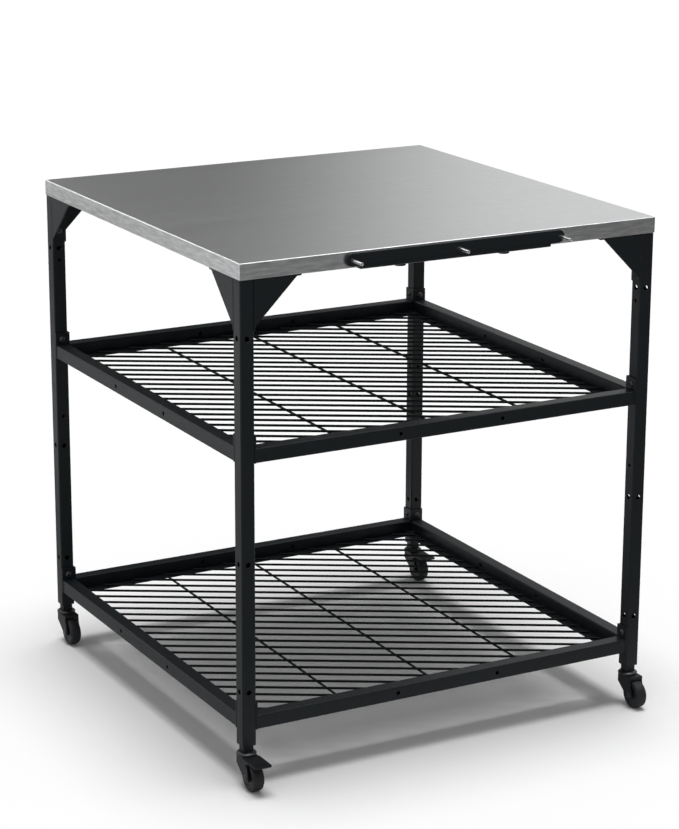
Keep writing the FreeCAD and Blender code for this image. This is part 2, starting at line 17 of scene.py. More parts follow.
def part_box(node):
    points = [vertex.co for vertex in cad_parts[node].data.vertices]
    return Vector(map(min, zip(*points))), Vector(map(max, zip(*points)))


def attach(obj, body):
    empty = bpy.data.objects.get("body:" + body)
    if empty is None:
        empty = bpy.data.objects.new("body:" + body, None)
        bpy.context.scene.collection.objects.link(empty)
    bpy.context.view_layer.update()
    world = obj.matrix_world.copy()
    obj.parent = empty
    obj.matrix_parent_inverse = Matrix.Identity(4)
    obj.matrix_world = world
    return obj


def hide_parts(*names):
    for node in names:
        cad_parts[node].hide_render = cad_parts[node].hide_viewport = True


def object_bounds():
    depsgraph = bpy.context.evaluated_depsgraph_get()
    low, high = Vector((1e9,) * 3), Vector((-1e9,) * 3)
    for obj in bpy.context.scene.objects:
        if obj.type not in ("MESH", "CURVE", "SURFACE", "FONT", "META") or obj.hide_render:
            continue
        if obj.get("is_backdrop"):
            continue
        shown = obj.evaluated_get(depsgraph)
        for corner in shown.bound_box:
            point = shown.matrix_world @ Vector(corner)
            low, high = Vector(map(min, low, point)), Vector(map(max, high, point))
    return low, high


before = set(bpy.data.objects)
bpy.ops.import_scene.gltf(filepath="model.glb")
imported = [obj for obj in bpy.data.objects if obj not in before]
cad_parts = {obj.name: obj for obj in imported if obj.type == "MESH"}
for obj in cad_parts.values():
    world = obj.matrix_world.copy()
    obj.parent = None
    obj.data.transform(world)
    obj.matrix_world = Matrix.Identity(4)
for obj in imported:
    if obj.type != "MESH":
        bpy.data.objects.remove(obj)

cad_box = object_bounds()

# %% [markdown]
# ## Measuring in millimetres
#
# Furniture is drawn in millimetres from the middle of its worktop, while Blender works in metres.
# One helper converts a place, so every later size can be read as it would be on a drawing.

# %% Places and sizes
MM = 0.001
tray_low, tray_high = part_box("worktop_tray")
MIDDLE_Y = (tray_low.y + tray_high.y) / 2
CORNERS = {"front_left": (-1, -1), "front_right": (1, -1), "back_left": (-1, 1), "back_right": (1, 1)}
SIDE_TURNS = {"front": 0, "right": 90, "back": 180, "left": 270}
Z_AXIS = Vector((0, 0, 1))


def here(x, y, z):
    """A place in metres, from millimetres measured from the middle of the table's floor plan."""
    return Vector((x * MM, y * MM + MIDDLE_Y, z * MM))


def move_to(x, y, z):
    return Matrix.Translation(here(x, y, z))


def turn_about_table(degrees):
    """A turn about the table's upright middle axis."""
    middle = Matrix.Translation((0, MIDDLE_Y, 0))
    return middle @ Matrix.Rotation(math.radians(degrees), 4, "Z") @ middle.inverted()


def aim(direction):
    """The turn that points local Z along a direction."""
    return Z_AXIS.rotation_difference(Vector(direction)).to_matrix().to_4x4()


print("table middle y", round(MIDDLE_Y, 5))

# %% [markdown]
# ## Skins over rings
#
# A tube, a turned knob and a folded tray have one thing in common: each is a skin over a row of
# rings. One helper makes that skin, so a shape is given by its profile alone. Normals are worked
# out once the skin is closed, because a ring's direction says nothing about the outside.

# %% Draw with rings
def skin(rings, closed=False, capped=False):
    """A bmesh skin over rings of points; a ring of one point is a pole."""
    bm = bmesh.new()
    made = [[bm.verts.new(p) for p in ring] for ring in rings]
    pairs = list(zip(made, made[1:])) + ([(made[-1], made[0])] if closed else [])
    for low, high in pairs:
        count = max(len(low), len(high))
        for i in range(count):
            j = (i + 1) % count
            quad = (low[i % len(low)], low[j % len(low)], high[j % len(high)], high[i % len(high)])
            bm.faces.new(list(dict.fromkeys(quad)))
    if capped:
        bm.faces.new(made[0])
        bm.faces.new(made[-1])
    bmesh.ops.recalc_face_normals(bm, faces=bm.faces)
    return bm


def circle(radius, z, sides):
    if radius == 0:
        return [(0, 0, z * MM)]
    turns = [2 * math.pi * (i + 0.5) / sides for i in range(sides)]
    return [(radius * MM * math.cos(a), radius * MM * math.sin(a), z * MM) for a in turns]


def lathe(profile, sides, closed=False):
    """A turned form about Z, from (radius, height) points in millimetres."""
    return skin([circle(r, z, sides) for r, z in profile], closed)


def rod(radius, low, high, sides=32):
    """A plain round rod about Z, or a hexagon when it has six sides."""
    return lathe([(0, low), (radius, low), (radius, high), (0, high)], sides)


def arc(x, y, radius, first, last, steps):
    """Points on an arc about (x, y), from one angle in degrees to another."""
    turns = [math.radians(first + (last - first) * k / steps) for k in range(steps + 1)]
    return [(x + radius * math.cos(a), y + radius * math.sin(a)) for a in turns]


def rounded_square(half, radius, steps=4):
    """(x, y) points round a square of rounded corners, in millimetres."""
    m = half - radius
    corners = ((m, m), (-m, m), (-m, -m), (m, -m))
    return [p for i, (x, y) in enumerate(corners) for p in arc(x, y, radius, 90 * i, 90 * i + 90, steps)]


print("drawing helpers ready")

# %% [markdown]
# ## From drawing to object and back
#
# Shapes are drawn in a bmesh, which is quick to build by code, while modifiers need a real object.
# These helpers go between the two, so each step can use whichever suits it.

# %% Pass between bmesh and object
def moved(bm, matrix):
    bm.transform(matrix)
    return bm


def gather(parts):
    """One bmesh out of several, which are used up."""
    whole = bmesh.new()
    for bm in parts:
        mesh = bpy.data.meshes.new("part")
        bm.to_mesh(mesh)
        bm.free()
        whole.from_mesh(mesh)
        bpy.data.meshes.remove(mesh)
    return whole


def in_scene(name, data):
    """A new object with this data, linked into the scene."""
    obj = bpy.data.objects.new(name, data)
    bpy.context.scene.collection.objects.link(obj)
    return obj


def drawn(name, points, edges=(), faces=()):
    """An object whose mesh is listed point by point."""
    mesh = bpy.data.meshes.new(name)
    mesh.from_pydata(points, edges, faces)
    return in_scene(name, mesh)


def as_object(name, bm):
    """An object out of a bmesh, which is used up."""
    mesh = bpy.data.meshes.new(name)
    bm.to_mesh(mesh)
    bm.free()
    return in_scene(name, mesh)


def as_bmesh(obj):
    """A bmesh out of an object, which is removed."""
    bm = bmesh.new()
    bm.from_mesh(obj.data)
    bpy.data.objects.remove(obj)
    return bm


print("object helpers ready")

# %% [markdown]
# ## Cutting, easing and shading
#
# A drilled or moulded part is a plain block with pieces cut away. No real edge is quite sharp, and
# its narrow rounding is what catches light. Modifiers cut and round, and are settled into the mesh
# at once, so each piece is handed on finished.

# %% Cut, ease and shade
def settle(obj):
    """Replaces an object's mesh by what its modifiers make of it, and drops the modifiers."""
    graph = bpy.context.evaluated_depsgraph_get()
    made = bpy.data.meshes.new_from_object(obj.evaluated_get(graph), depsgraph=graph)
    obj.modifiers.clear()
    obj.data = made
    return obj


def carve(obj, cutter, operation="DIFFERENCE"):
    """Cuts an object with a bmesh."""
    tool = as_object("cutter", cutter)
    step = obj.modifiers.new("cut", "BOOLEAN")
    step.operation = operation
    step.solver = "EXACT"
    step.object = tool
    settle(obj)
    bpy.data.objects.remove(tool)
    return obj


def ease_edges(obj, width, steps=2, angle=35):
    """Rounds every edge sharper than the angle, as a deburred or moulded edge is."""
    step = obj.modifiers.new("ease", "BEVEL")
    step.width = width * MM
    step.segments = steps
    step.limit_method = "ANGLE"
    step.angle_limit = math.radians(angle)
    return settle(obj)


def even_shading(obj, angle=40):
    """Smooth shading that keeps large flat faces flat."""
    obj.data.shade_smooth()
    obj.data.set_sharp_from_angle(angle=math.radians(angle))
    step = obj.modifiers.new("even", "WEIGHTED_NORMAL")
    step.keep_sharp = True
    return settle(obj)


def copy_of(obj, name, matrix):
    """A copy with its place in its mesh."""
    mesh = obj.data.copy()
    mesh.transform(matrix)
    return in_scene(name, mesh)


print("cutting helpers ready")

# %% [markdown]
# ## Dressing a node
#
# A finished piece has a material, a body that it moves with and CAD nodes that it stands
# for. One helper sets all three, so no piece lacks one.

# %% Dress a piece
dressed = []


def dress(obj, material, nodes, body="table"):
    """Gives a finished piece its material, its body and the nodes that it stands for."""
    obj.data.materials.clear()
    obj.data.materials.append(material)
    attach(obj, body)
    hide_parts(*nodes)
    dressed.append(obj)


print("dressing helper ready")

# %% [markdown]
# ## Surface effects as shader groups
#
# Brushing, the orange peel of powder coat and the dull bloom of moulded plastic each turn up in
# more than one finish. Every effect is a node group with its own inputs, placed in each material
# with its own values. A group only hands out colours, masks and heights; the shader stays in the
# material.

# %% Helpers for node trees
def add_node(tree, kind, inputs=None, **settings):
    """Adds a node; its inputs are links or values, each under its socket's name or number."""
    node = tree.nodes.new(kind)
    for key, value in settings.items():
        setattr(node, key, value)
    for key, value in (inputs or {}).items():
        if isinstance(value, bpy.types.NodeSocket):
            tree.links.new(value, node.inputs[key])
        else:
            node.inputs[key].default_value = value
    return node


def calc(tree, operation, a, b=0.0, clamp=False):
    """The result of one step of arithmetic."""
    return add_node(tree, "ShaderNodeMath", {0: a, 1: b}, operation=operation, use_clamp=clamp).outputs[0]


def new_group(name, kind, inputs, outputs):
    """A node group with named sockets; returns the tree, its input sockets and its output node."""
    tree = bpy.data.node_groups.new(name, kind)
    for label, socket, value in inputs:
        made = tree.interface.new_socket(label, in_out="INPUT", socket_type=socket)
        if value is not None:
            made.default_value = value
    for label, socket in outputs:
        tree.interface.new_socket(label, in_out="OUTPUT", socket_type=socket)
    given = tree.nodes.new("NodeGroupInput").outputs
    return tree, given, tree.nodes.new("NodeGroupOutput").inputs


print("node helpers ready")

# %% [markdown]
# ### Brushed grain
#
# A brushed sheet has thousands of fine scratches that all run one way. Stretched noise gives them:
# long along the grain and tight across it. A third, coarser noise breaks the brushing into short
# dashes, which show most on the skirts. On a folded tray the grain runs along each skirt, so the
# group picks its direction from the way the surface faces.

# %% Build the brushed grain group
FLOAT, VECTOR, COLOUR = "NodeSocketFloat", "NodeSocketVector", "NodeSocketColor"

grain, grain_in, grain_out = new_group(
    "brushed grain", "ShaderNodeTree",
    [("Place", VECTOR, None), ("Facing", VECTOR, None), ("Colour", COLOUR, (0.5, 0.5, 0.5, 1)),
     ("Fineness", FLOAT, 1400.0), ("Contrast", FLOAT, 0.1), ("Dashes", FLOAT, 0.1), ("Roughness", FLOAT, 0.35)],
    [("Colour", COLOUR), ("Roughness", FLOAT), ("Height", FLOAT)])

facing = add_node(grain, "ShaderNodeSeparateXYZ", {0: grain_in["Facing"]}).outputs
to_side = calc(grain, "GREATER_THAN", calc(grain, "ABSOLUTE", facing[0]), 0.7)
streaks = []
# fineness, detail and stretch of the fine scratches, the broad bands and the short dashes
for fine, detail, long in ((1.0, 3.0, 0.004), (0.12, 2.0, 0.004), (0.28, 3.0, 0.13)):
    scale = calc(grain, "MULTIPLY", grain_in["Fineness"], fine)
    ways = []
    for stretch in ((long, 1.0, 1.0), (1.0, long, 1.0)):
        squeezed = add_node(grain, "ShaderNodeVectorMath", {0: grain_in["Place"], 1: stretch}, operation="MULTIPLY")
        noise = add_node(grain, "ShaderNodeTexNoise",
                         {"Vector": squeezed.outputs[0], "Scale": scale, "Detail": detail, "Roughness": 0.6})
        ways.append(noise.outputs[0])
    streaks.append(add_node(grain, "ShaderNodeMix", {0: to_side, 2: ways[0], 3: ways[1]}).outputs[0])
mixed = add_node(grain, "ShaderNodeMix", {0: 0.4, 2: streaks[0], 3: streaks[1]}).outputs[0]
swing = calc(grain, "MULTIPLY", calc(grain, "SUBTRACT", mixed, 0.5), grain_in["Contrast"])
lying = calc(grain, "MULTIPLY", calc(grain, "ABSOLUTE", facing[2]), 0.75)
dashes = calc(grain, "MULTIPLY", calc(grain, "SUBTRACT", streaks[2], 0.5), grain_in["Dashes"])
dashes = calc(grain, "MULTIPLY", dashes, calc(grain, "SUBTRACT", 1.0, lying))
bright = calc(grain, "ADD", calc(grain, "MULTIPLY", calc(grain, "ADD", swing, dashes), 4.0), 1.0)
tinted = add_node(grain, "ShaderNodeVectorMath", {0: grain_in["Colour"], "Scale": bright}, operation="SCALE")
grain.links.new(tinted.outputs[0], grain_out["Colour"])
grain.links.new(calc(grain, "ADD", grain_in["Roughness"], swing), grain_out["Roughness"])
grain.links.new(mixed, grain_out["Height"])
print("brushed grain has", len(grain.nodes), "nodes")

# %% [markdown]
# ### Coated skin
#
# Powder coat and moulded plastic share a skin of tiny bumps, over which the gloss drifts a little
# from place to place. Fine noise makes the bumps and a broad one the drift. The broad one also
# thins out the faint dust that settles on faces that look up.

# %% Build the coated skin group
coat, coat_in, coat_out = new_group(
    "coated skin", "ShaderNodeTree",
    [("Place", VECTOR, None), ("Facing", VECTOR, None), ("Colour", COLOUR, (0.03, 0.03, 0.03, 1)),
     ("Fineness", FLOAT, 900.0), ("Roughness", FLOAT, 0.5), ("Drift", FLOAT, 0.08), ("Dust", FLOAT, 0.1)],
    [("Colour", COLOUR), ("Roughness", FLOAT), ("Height", FLOAT)])
bumps = add_node(coat, "ShaderNodeTexNoise",
                 {"Vector": coat_in["Place"], "Scale": coat_in["Fineness"], "Detail": 2.0}).outputs[0]
broad = add_node(coat, "ShaderNodeTexNoise", {"Vector": coat_in["Place"], "Scale": 9.0, "Detail": 3.0}).outputs[0]
drift = calc(coat, "MULTIPLY", calc(coat, "SUBTRACT", broad, 0.5), coat_in["Drift"])
speckle = calc(coat, "MULTIPLY", calc(coat, "SUBTRACT", bumps, 0.5), 0.5)
tone = calc(coat, "ADD", calc(coat, "ADD", 1.0, calc(coat, "MULTIPLY", drift, 2.0)), speckle)
toned = add_node(coat, "ShaderNodeVectorMath", {0: coat_in["Colour"], "Scale": tone}, operation="SCALE")
up = add_node(coat, "ShaderNodeSeparateXYZ", {0: coat_in["Facing"]}).outputs[2]
settled = calc(coat, "MULTIPLY", calc(coat, "SUBTRACT", up, 0.6, clamp=True), broad)
dusty = calc(coat, "MULTIPLY", settled, coat_in["Dust"])
dusted = add_node(coat, "ShaderNodeMix", {0: dusty, 6: toned.outputs[0], 7: (0.42, 0.40, 0.37, 1)}, data_type="RGBA")
coat.links.new(dusted.outputs[2], coat_out["Colour"])
coat.links.new(calc(coat, "ADD", coat_in["Roughness"], drift), coat_out["Roughness"])
coat.links.new(bumps, coat_out["Height"])
print("coated skin has", len(coat.nodes), "nodes")

# %% [markdown]
# ## The finishes
#
# Each finish is one Principled shader with one of the groups in front of it. Colours are written
# as the real surface reflects light, so they hold under other lamps as well.

# %% Build the materials
def finish(name, group, metallic, specular, bump, colour, **values):
    """A Principled material whose colour, roughness and bump come from a surface group."""
    made = bpy.data.materials.new(name)
    made.use_nodes = True
    made.diffuse_color = colour
    tree = made.node_tree
    shader = tree.nodes["Principled BSDF"]
    shader.inputs["Metallic"].default_value = metallic
    shader.inputs["Specular IOR Level"].default_value = specular
    place = add_node(tree, "ShaderNodeTexCoord").outputs["Object"]
    facing = add_node(tree, "ShaderNodeNewGeometry").outputs["Normal"]
    effect = add_node(tree, "ShaderNodeGroup", {"Place": place, "Facing": facing, "Colour": colour, **values},
                      node_tree=group).outputs
    relief = add_node(tree, "ShaderNodeBump", {"Height": effect["Height"], "Strength": bump, "Distance": 0.0003})
    tree.links.new(effect["Colour"], shader.inputs["Base Color"])
    tree.links.new(effect["Roughness"], shader.inputs["Roughness"])
    tree.links.new(relief.outputs[0], shader.inputs["Normal"])
    return made


def grey(value, blue=1.0):
    return (value, value, value * blue, 1)


STAINLESS = finish("brushed stainless sheet", grain, 1.0, 0.5, 0.10, (0.56, 0.565, 0.57, 1),
                   Fineness=900.0, Contrast=0.10, Dashes=0.28, Roughness=0.34)
PIN_STEEL = finish("turned stainless", grain, 1.0, 0.5, 0.05, grey(0.50),
                   Fineness=2500.0, Contrast=0.06, Roughness=0.28)
ZINC = finish("zinc plated steel", grain, 1.0, 0.5, 0.1, grey(0.42, 1.05),
              Fineness=500.0, Contrast=0.15, Roughness=0.42)
AXLE_STEEL = finish("dark zinc pin", grain, 1.0, 0.5, 0.1, grey(0.045),
                    Fineness=1500.0, Contrast=0.1, Roughness=0.45)
POWDER = finish("black powder coat", coat, 0.0, 0.20, 0.35, (0.0062, 0.0093, 0.0116, 1),
                Fineness=1100.0, Roughness=0.38, Drift=0.06, Dust=0.02)
WIRE_COAT = finish("black powder coat on wire", coat, 0.0, 0.08, 0.35, (0.006, 0.0078, 0.0094, 1),
                   Fineness=1100.0, Roughness=0.5, Drift=0.06, Dust=0.0)
OXIDE = finish("black oxide steel", coat, 0.0, 0.5, 0.15, grey(0.022),
               Fineness=2000.0, Roughness=0.42, Drift=0.1, Dust=0.02)
PLASTIC = finish("moulded black plastic", coat, 0.0, 0.19, 0.25, (0.0076, 0.0086, 0.0108, 1),
                 Fineness=1500.0, Roughness=0.48, Drift=0.08, Dust=0.01)
TREAD = finish("dull black tyre", coat, 0.0, 0.26, 0.4, (0.0108, 0.0112, 0.0130, 1),
               Fineness=900.0, Roughness=0.62, Drift=0.12, Dust=0.02)
CAP_STEEL = finish("black coated pressing", coat, 0.0, 0.45, 0.1, grey(0.012),
                   Fineness=1200.0, Roughness=0.38, Drift=0.08, Dust=0.02)
print("materials", len(bpy.data.materials))

# %% [markdown]
# ## The worktop
#
# The top is one sheet folded down on four sides, with a narrow lip turned in below. Its bends are
# rolled, not sharp, and a bright line of light runs along them. The sheet is a skin over rounded
# squares that follow the profile down the skirt, in along the lip and back up inside.

# %% Fold the worktop sheet
TOP, LIP, SHEET = 900.0, 872.0, 1.5
HALF_TOP, LIP_IN, TOP_BEND, LOW_BEND, CORNER_BEND, INNER_BEND = 400.0, 30.0, 2.2, 1.6, 1.0, 0.4

# (inset, height) points, down the outside of a skirt and back up its inside
fold = arc(TOP_BEND, TOP - TOP_BEND, TOP_BEND, 90, 180, 5)
fold += arc(LOW_BEND, LIP + LOW_BEND, LOW_BEND, 180, 270, 5)
fold += [(LIP_IN, LIP), (LIP_IN, LIP + SHEET), (SHEET, LIP + SHEET), (SHEET, TOP - SHEET)]
rings = []
for inset, height in fold:
    flat = rounded_square(HALF_TOP - inset, max(CORNER_BEND - inset, INNER_BEND), 5)
    rings.append([here(x, y, height) for x, y in flat])
worktop = even_shading(as_object("worktop_sheet", skin(rings, capped=True)), 50)
dress(worktop, STAINLESS, ["worktop_tray"])
print("worktop faces", len(worktop.data.polygons))

# %% [markdown]
# ## Drilled square tube
#
# Legs and rails are the same 25 mm tube with eased corners. Their holes are deburred, which shows
# as a thin light ring, so each cutter flares a little where it meets the surface. One leg and one
# rail are drilled and then copied round the table, because the table looks the same from its four
# sides.

# %% Drill a tube
TUBE, WALL, TUBE_BEND, DEBURR = 25.0, 1.5, 2.2, 0.35


def square_tube(length):
    """A tube about Z, standing on the origin."""
    outer, inner = rounded_square(TUBE / 2, TUBE_BEND), rounded_square(TUBE / 2 - WALL, TUBE_BEND - WALL)
    rings = [[Vector((x, y, z)) * MM for x, y in flat]
             for flat, z in ((outer, 0), (outer, length), (inner, length), (inner, 0))]
    return skin(rings, closed=True)


def drill(radius, face, inward, sides):
    """A flared cutter for one wall, from a place on its surface inwards."""
    tool = lathe([(0, -1), (radius + 1 + DEBURR, -1), (radius, DEBURR), (radius, WALL + 1), (0, WALL + 1)], sides)
    return moved(tool, Matrix.Translation(face) @ aim(inward))


LEG_MID, LEG_IN, LEG_FOOT = 386.5, 374.0, 75.0
LINK_HOLES, LINK_R, BOLT_R = (170.0, 394.0, 775.0), 4.5, 3.0
ANGLE_BOLTS, GUSSET_BOLT, SPARE_HOLES = (138.0, 602.0), 808.0, (452.0, 752.0)


def leg_drill(radius, inward, z, sides=32):
    """A cutter for one wall of the front left leg."""
    dx, dy = inward
    return drill(radius, here(-LEG_MID - dx * TUBE / 2, -LEG_MID - dy * TUBE / 2, z), (dx, dy, 0), sides)


leg = as_object("leg", moved(square_tube(LIP - LEG_FOOT), move_to(-LEG_MID, -LEG_MID, LEG_FOOT)))
cutters = [leg_drill(LINK_R, way, z) for way in ((1, 0), (-1, 0), (0, 1), (0, -1)) for z in LINK_HOLES]
cutters += [leg_drill(BOLT_R, way, z, 20) for way in ((-1, 0), (0, -1))
            for z in sorted((*ANGLE_BOLTS, *SPARE_HOLES, GUSSET_BOLT))]
even_shading(carve(leg, gather(cutters)))
print("leg faces", len(leg.data.polygons))
for corner, turn in {"front_left": 0, "front_right": 90, "back_right": 180, "back_left": 270}.items():
    dress(copy_of(leg, f"tube_leg_{corner}", turn_about_table(turn)), POWDER, [f"leg_{corner}"])
bpy.data.objects.remove(leg)

# %% Drill the rails
RAIL_MID, RAIL_END, RAIL_HOLE_R, RAIL_HOLE_X = 385.5, 371.0, 3.5, 100.0
SHELVES = {"upper": 566.0, "lower": 102.0}

lying = Matrix.Rotation(math.radians(90), 4, "Y")
for shelf, bottom in SHELVES.items():
    height = bottom + TUBE / 2
    rail = as_object("rail", moved(square_tube(2 * RAIL_END), move_to(-RAIL_END, -RAIL_MID, height) @ lying))
    cutters = [drill(RAIL_HOLE_R, here(x, -RAIL_MID - dy * TUBE / 2, height), (0, dy, 0), 28)
               for x in (-RAIL_HOLE_X, RAIL_HOLE_X) for dy in (1, -1)]
    even_shading(carve(rail, gather(cutters)))
    for side, turn in SIDE_TURNS.items():
        dress(copy_of(rail, f"tube_rail_{shelf}_{side}", turn_about_table(turn)), POWDER,
              [f"{shelf}_rail_{side}"])
    bpy.data.objects.remove(rail)
print("rail pieces", sum("rail" in o.name for o in dressed))

# %% [markdown]
# ## Folded gussets and angles
#
# The CAD nodes already have the right shape here, but their edges are as sharp as a drawing's. In a
# copy of each, flat triangles are dissolved into whole faces, and a narrow bevel gives the edges
# the small radius that catches light.

# %% Ease the edges of plain nodes
def eased_copy(node, name):
    """A copy of a CAD node as clean faces with eased edges."""
    bm = bmesh.new()
    bm.from_mesh(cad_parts[node].data)
    bmesh.ops.remove_doubles(bm, verts=bm.verts, dist=1e-6)
    bmesh.ops.dissolve_limit(bm, angle_limit=math.radians(1), verts=bm.verts, edges=bm.edges)
    return even_shading(ease_edges(as_object(name, bm), 0.5), 50)


SIDE_ENDS = {"front": ("left", "right"), "right": ("front", "back"), "back": ("right", "left"),
             "left": ("back", "front")}
eased = {f"gusset_{side}_{end}": "folded" for side, ends in SIDE_ENDS.items() for end in ends}
eased |= {f"{shelf}_shelf_angles": "eased" for shelf in SHELVES}
for node, word in eased.items():
    dress(eased_copy(node, f"{word}_{node}"), POWDER, [node])
print("eased pieces", len(eased))

# %% [markdown]
# ## The wire shelves
#
# A shelf is a row of slanted wires over three cross wires, welded onto a frame of flat strip. Its
# wires follow one rule, so Geometry Nodes make them: every wire is an edge of a plain mesh, the
# edges become curves, and a round profile is swept along them. Where wires meet, the weld leaves
# a small flattened bead, which is instanced on the meeting points.

# %% Build the wire tree
def apply_tree(host, tree, values):
    """Runs a geometry tree on a host object and leaves the result as its mesh."""
    step = host.modifiers.new(tree.name, "NODES")
    step.node_group = tree
    for item in tree.interface.items_tree:
        if item.in_out == "INPUT" and item.name in values:
            step[item.identifier] = values[item.name]
    return settle(host)


GEOMETRY, OBJECT, MATERIAL, INTEGER = ("NodeSocketGeometry", "NodeSocketObject", "NodeSocketMaterial",
                                       "NodeSocketInt")
wires, wires_in, wires_out = new_group(
    "welded wires", "GeometryNodeTree",
    [("Edges", GEOMETRY, None), ("Wire radius", FLOAT, 0.002), ("Wire sides", INTEGER, 10),
     ("Weld radius", FLOAT, 0.0026), ("Strips", OBJECT, None), ("Material", MATERIAL, None)],
    [("Geometry", GEOMETRY)])
paths = add_node(wires, "GeometryNodeMeshToCurve", {"Mesh": wires_in["Edges"]})
section = add_node(wires, "GeometryNodeCurvePrimitiveCircle",
                   {"Resolution": wires_in["Wire sides"], "Radius": wires_in["Wire radius"]})
swept = add_node(wires, "GeometryNodeCurveToMesh",
                 {"Curve": paths.outputs[0], "Profile Curve": section.outputs[0], "Fill Caps": True})
bead = add_node(wires, "GeometryNodeMeshUVSphere", {"Segments": 8, "Rings": 5, "Radius": wires_in["Weld radius"]})
flat_bead = add_node(wires, "GeometryNodeTransform", {"Geometry": bead.outputs[0], "Scale": (1.25, 1.25, 0.6)})
welded = add_node(wires, "GeometryNodeInputNamedAttribute", {"Name": "weld"}, data_type="BOOLEAN")
beads = add_node(wires, "GeometryNodeInstanceOnPoints",
                 {"Points": wires_in["Edges"], "Selection": welded.outputs[0], "Instance": flat_bead.outputs[0]})
strips = add_node(wires, "GeometryNodeObjectInfo", {"Object": wires_in["Strips"]})
all_wires = add_node(wires, "GeometryNodeJoinGeometry")
for part in (swept, beads):
    wires.links.new(part.outputs[0], all_wires.inputs[0])
smooth = add_node(wires, "GeometryNodeSetShadeSmooth", {"Geometry": all_wires.outputs[0]})
panel = add_node(wires, "GeometryNodeJoinGeometry")
for part in (smooth.outputs[0], strips.outputs["Geometry"]):
    wires.links.new(part, panel.inputs[0])
real = add_node(wires, "GeometryNodeRealizeInstances", {0: panel.outputs[0]})
coated = add_node(wires, "GeometryNodeSetMaterial",
                  {"Geometry": real.outputs[0], "Material": wires_in["Material"]})
wires.links.new(coated.outputs[0], wires_out["Geometry"])
print("wire tree has", len(wires.nodes), "nodes")

# %% Weld both shelves
PANEL, STRIP_WIDE, STRIP_THICK, STRIP_CLIP = 373.0, 20.5, 2.0, 8.0
WIRE_R, WIRE_SINK, PITCH, WIRE_END, SLANT = 2.2, 0.5, 32.1, 368.0, math.radians(-30.0)
CROSS_X, CROSS_DROP, CROSS_SHORT = (-183.5, 0.0, 183.5), 2.6, 12.0
WELD_R, WELD_IN, WELD_SINK, WELD_MIN_WIRE = 2.8, 14.0, 0.4, 60.0


def strip_frame(bottom):
    """The flat strips as one clipped square frame."""
    w, c, i = PANEL, PANEL - STRIP_CLIP, PANEL - STRIP_WIDE
    outer = [(w, c), (c, w), (-c, w), (-w, c), (-w, -c), (-c, -w), (c, -w), (w, -c)]
    inner = [(i, i), (i, i), (-i, i), (-i, i), (-i, -i), (-i, -i), (i, -i), (i, -i)]
    rings = [[here(x, y, bottom + z) for x, y in flat]
             for flat, z in ((outer, 0), (outer, STRIP_THICK), (inner, STRIP_THICK), (inner, 0))]
    bm = skin(rings, closed=True)
    bmesh.ops.remove_doubles(bm, verts=bm.verts, dist=1e-6)
    bmesh.ops.recalc_face_normals(bm, faces=bm.faces)
    return even_shading(ease_edges(as_object("strips", bm), 0.3, 1), 50)


def clipped_line(offset):
    """Both ends of a slanted wire, clipped to the square that the wires fill."""
    along = Vector((math.cos(SLANT), math.sin(SLANT)))
    start = Vector((-math.sin(SLANT), math.cos(SLANT))) * offset
    low, high = -1e4, 1e4
    for p, d in zip(start, along):
        ends = sorted(((-WIRE_END - p) / d, (WIRE_END - p) / d))
        low, high = max(low, ends[0]), min(high, ends[1])
    return start + along * low, start + along * high


count = int(WIRE_END * (math.cos(SLANT) + abs(math.sin(SLANT))) // PITCH)
lines = [clipped_line(k * PITCH) for k in range(-count, count + 1)]
crossings = [(x, a.y + (b.y - a.y) * (x - a.x) / (b.x - a.x))
             for a, b in lines for x in CROSS_X if min(a.x, b.x) < x < max(a.x, b.x)]

for shelf, bottom in SHELVES.items():
    level, points, edges = bottom + STRIP_THICK + WIRE_R - WIRE_SINK, [], []
    for a, b in lines:
        edges.append((len(points), len(points) + 1))
        points += [(a.x, a.y, level, False), (b.x, b.y, level, False)]
        if (b - a).length > WELD_MIN_WIRE:
            for p, q in ((a, b), (b, a)):
                spot = p + (q - p).normalized() * WELD_IN
                points.append((spot.x, spot.y, bottom + STRIP_THICK, True))
    for x in CROSS_X:
        edges.append((len(points), len(points) + 1))
        points += [(x, s * (WIRE_END - CROSS_SHORT), level - CROSS_DROP, False) for s in (-1, 1)]
    points += [(x, y, level - CROSS_DROP / 2 - WELD_SINK, True) for x, y in crossings]
    grate = drawn(f"wire_grate_{shelf}", [here(x, y, z) for x, y, z, _ in points], edges)
    grate.data.attributes.new("weld", "BOOLEAN", "POINT").data.foreach_set("value", [p[3] for p in points])
    frame_strips = strip_frame(bottom)
    apply_tree(grate, wires, {"Wire radius": WIRE_R * MM, "Wire sides": 10, "Weld radius": WELD_R * MM,
                              "Strips": frame_strips, "Material": WIRE_COAT})
    bpy.data.objects.remove(frame_strips)
    dress(grate, WIRE_COAT, [f"{shelf}_wire_panel"])
    print(shelf, "grate:", len(lines), "wires,", len(crossings), "crossings,", len(grate.data.polygons), "faces")

# %% [markdown]
# ## Bolts and screws
#
# The shelves and gussets are held by button head bolts with a hex socket, and the top by pan head
# screws. One head of each kind is modelled, and Geometry Nodes put it on every place, pointed
# along an attribute that each place carries.

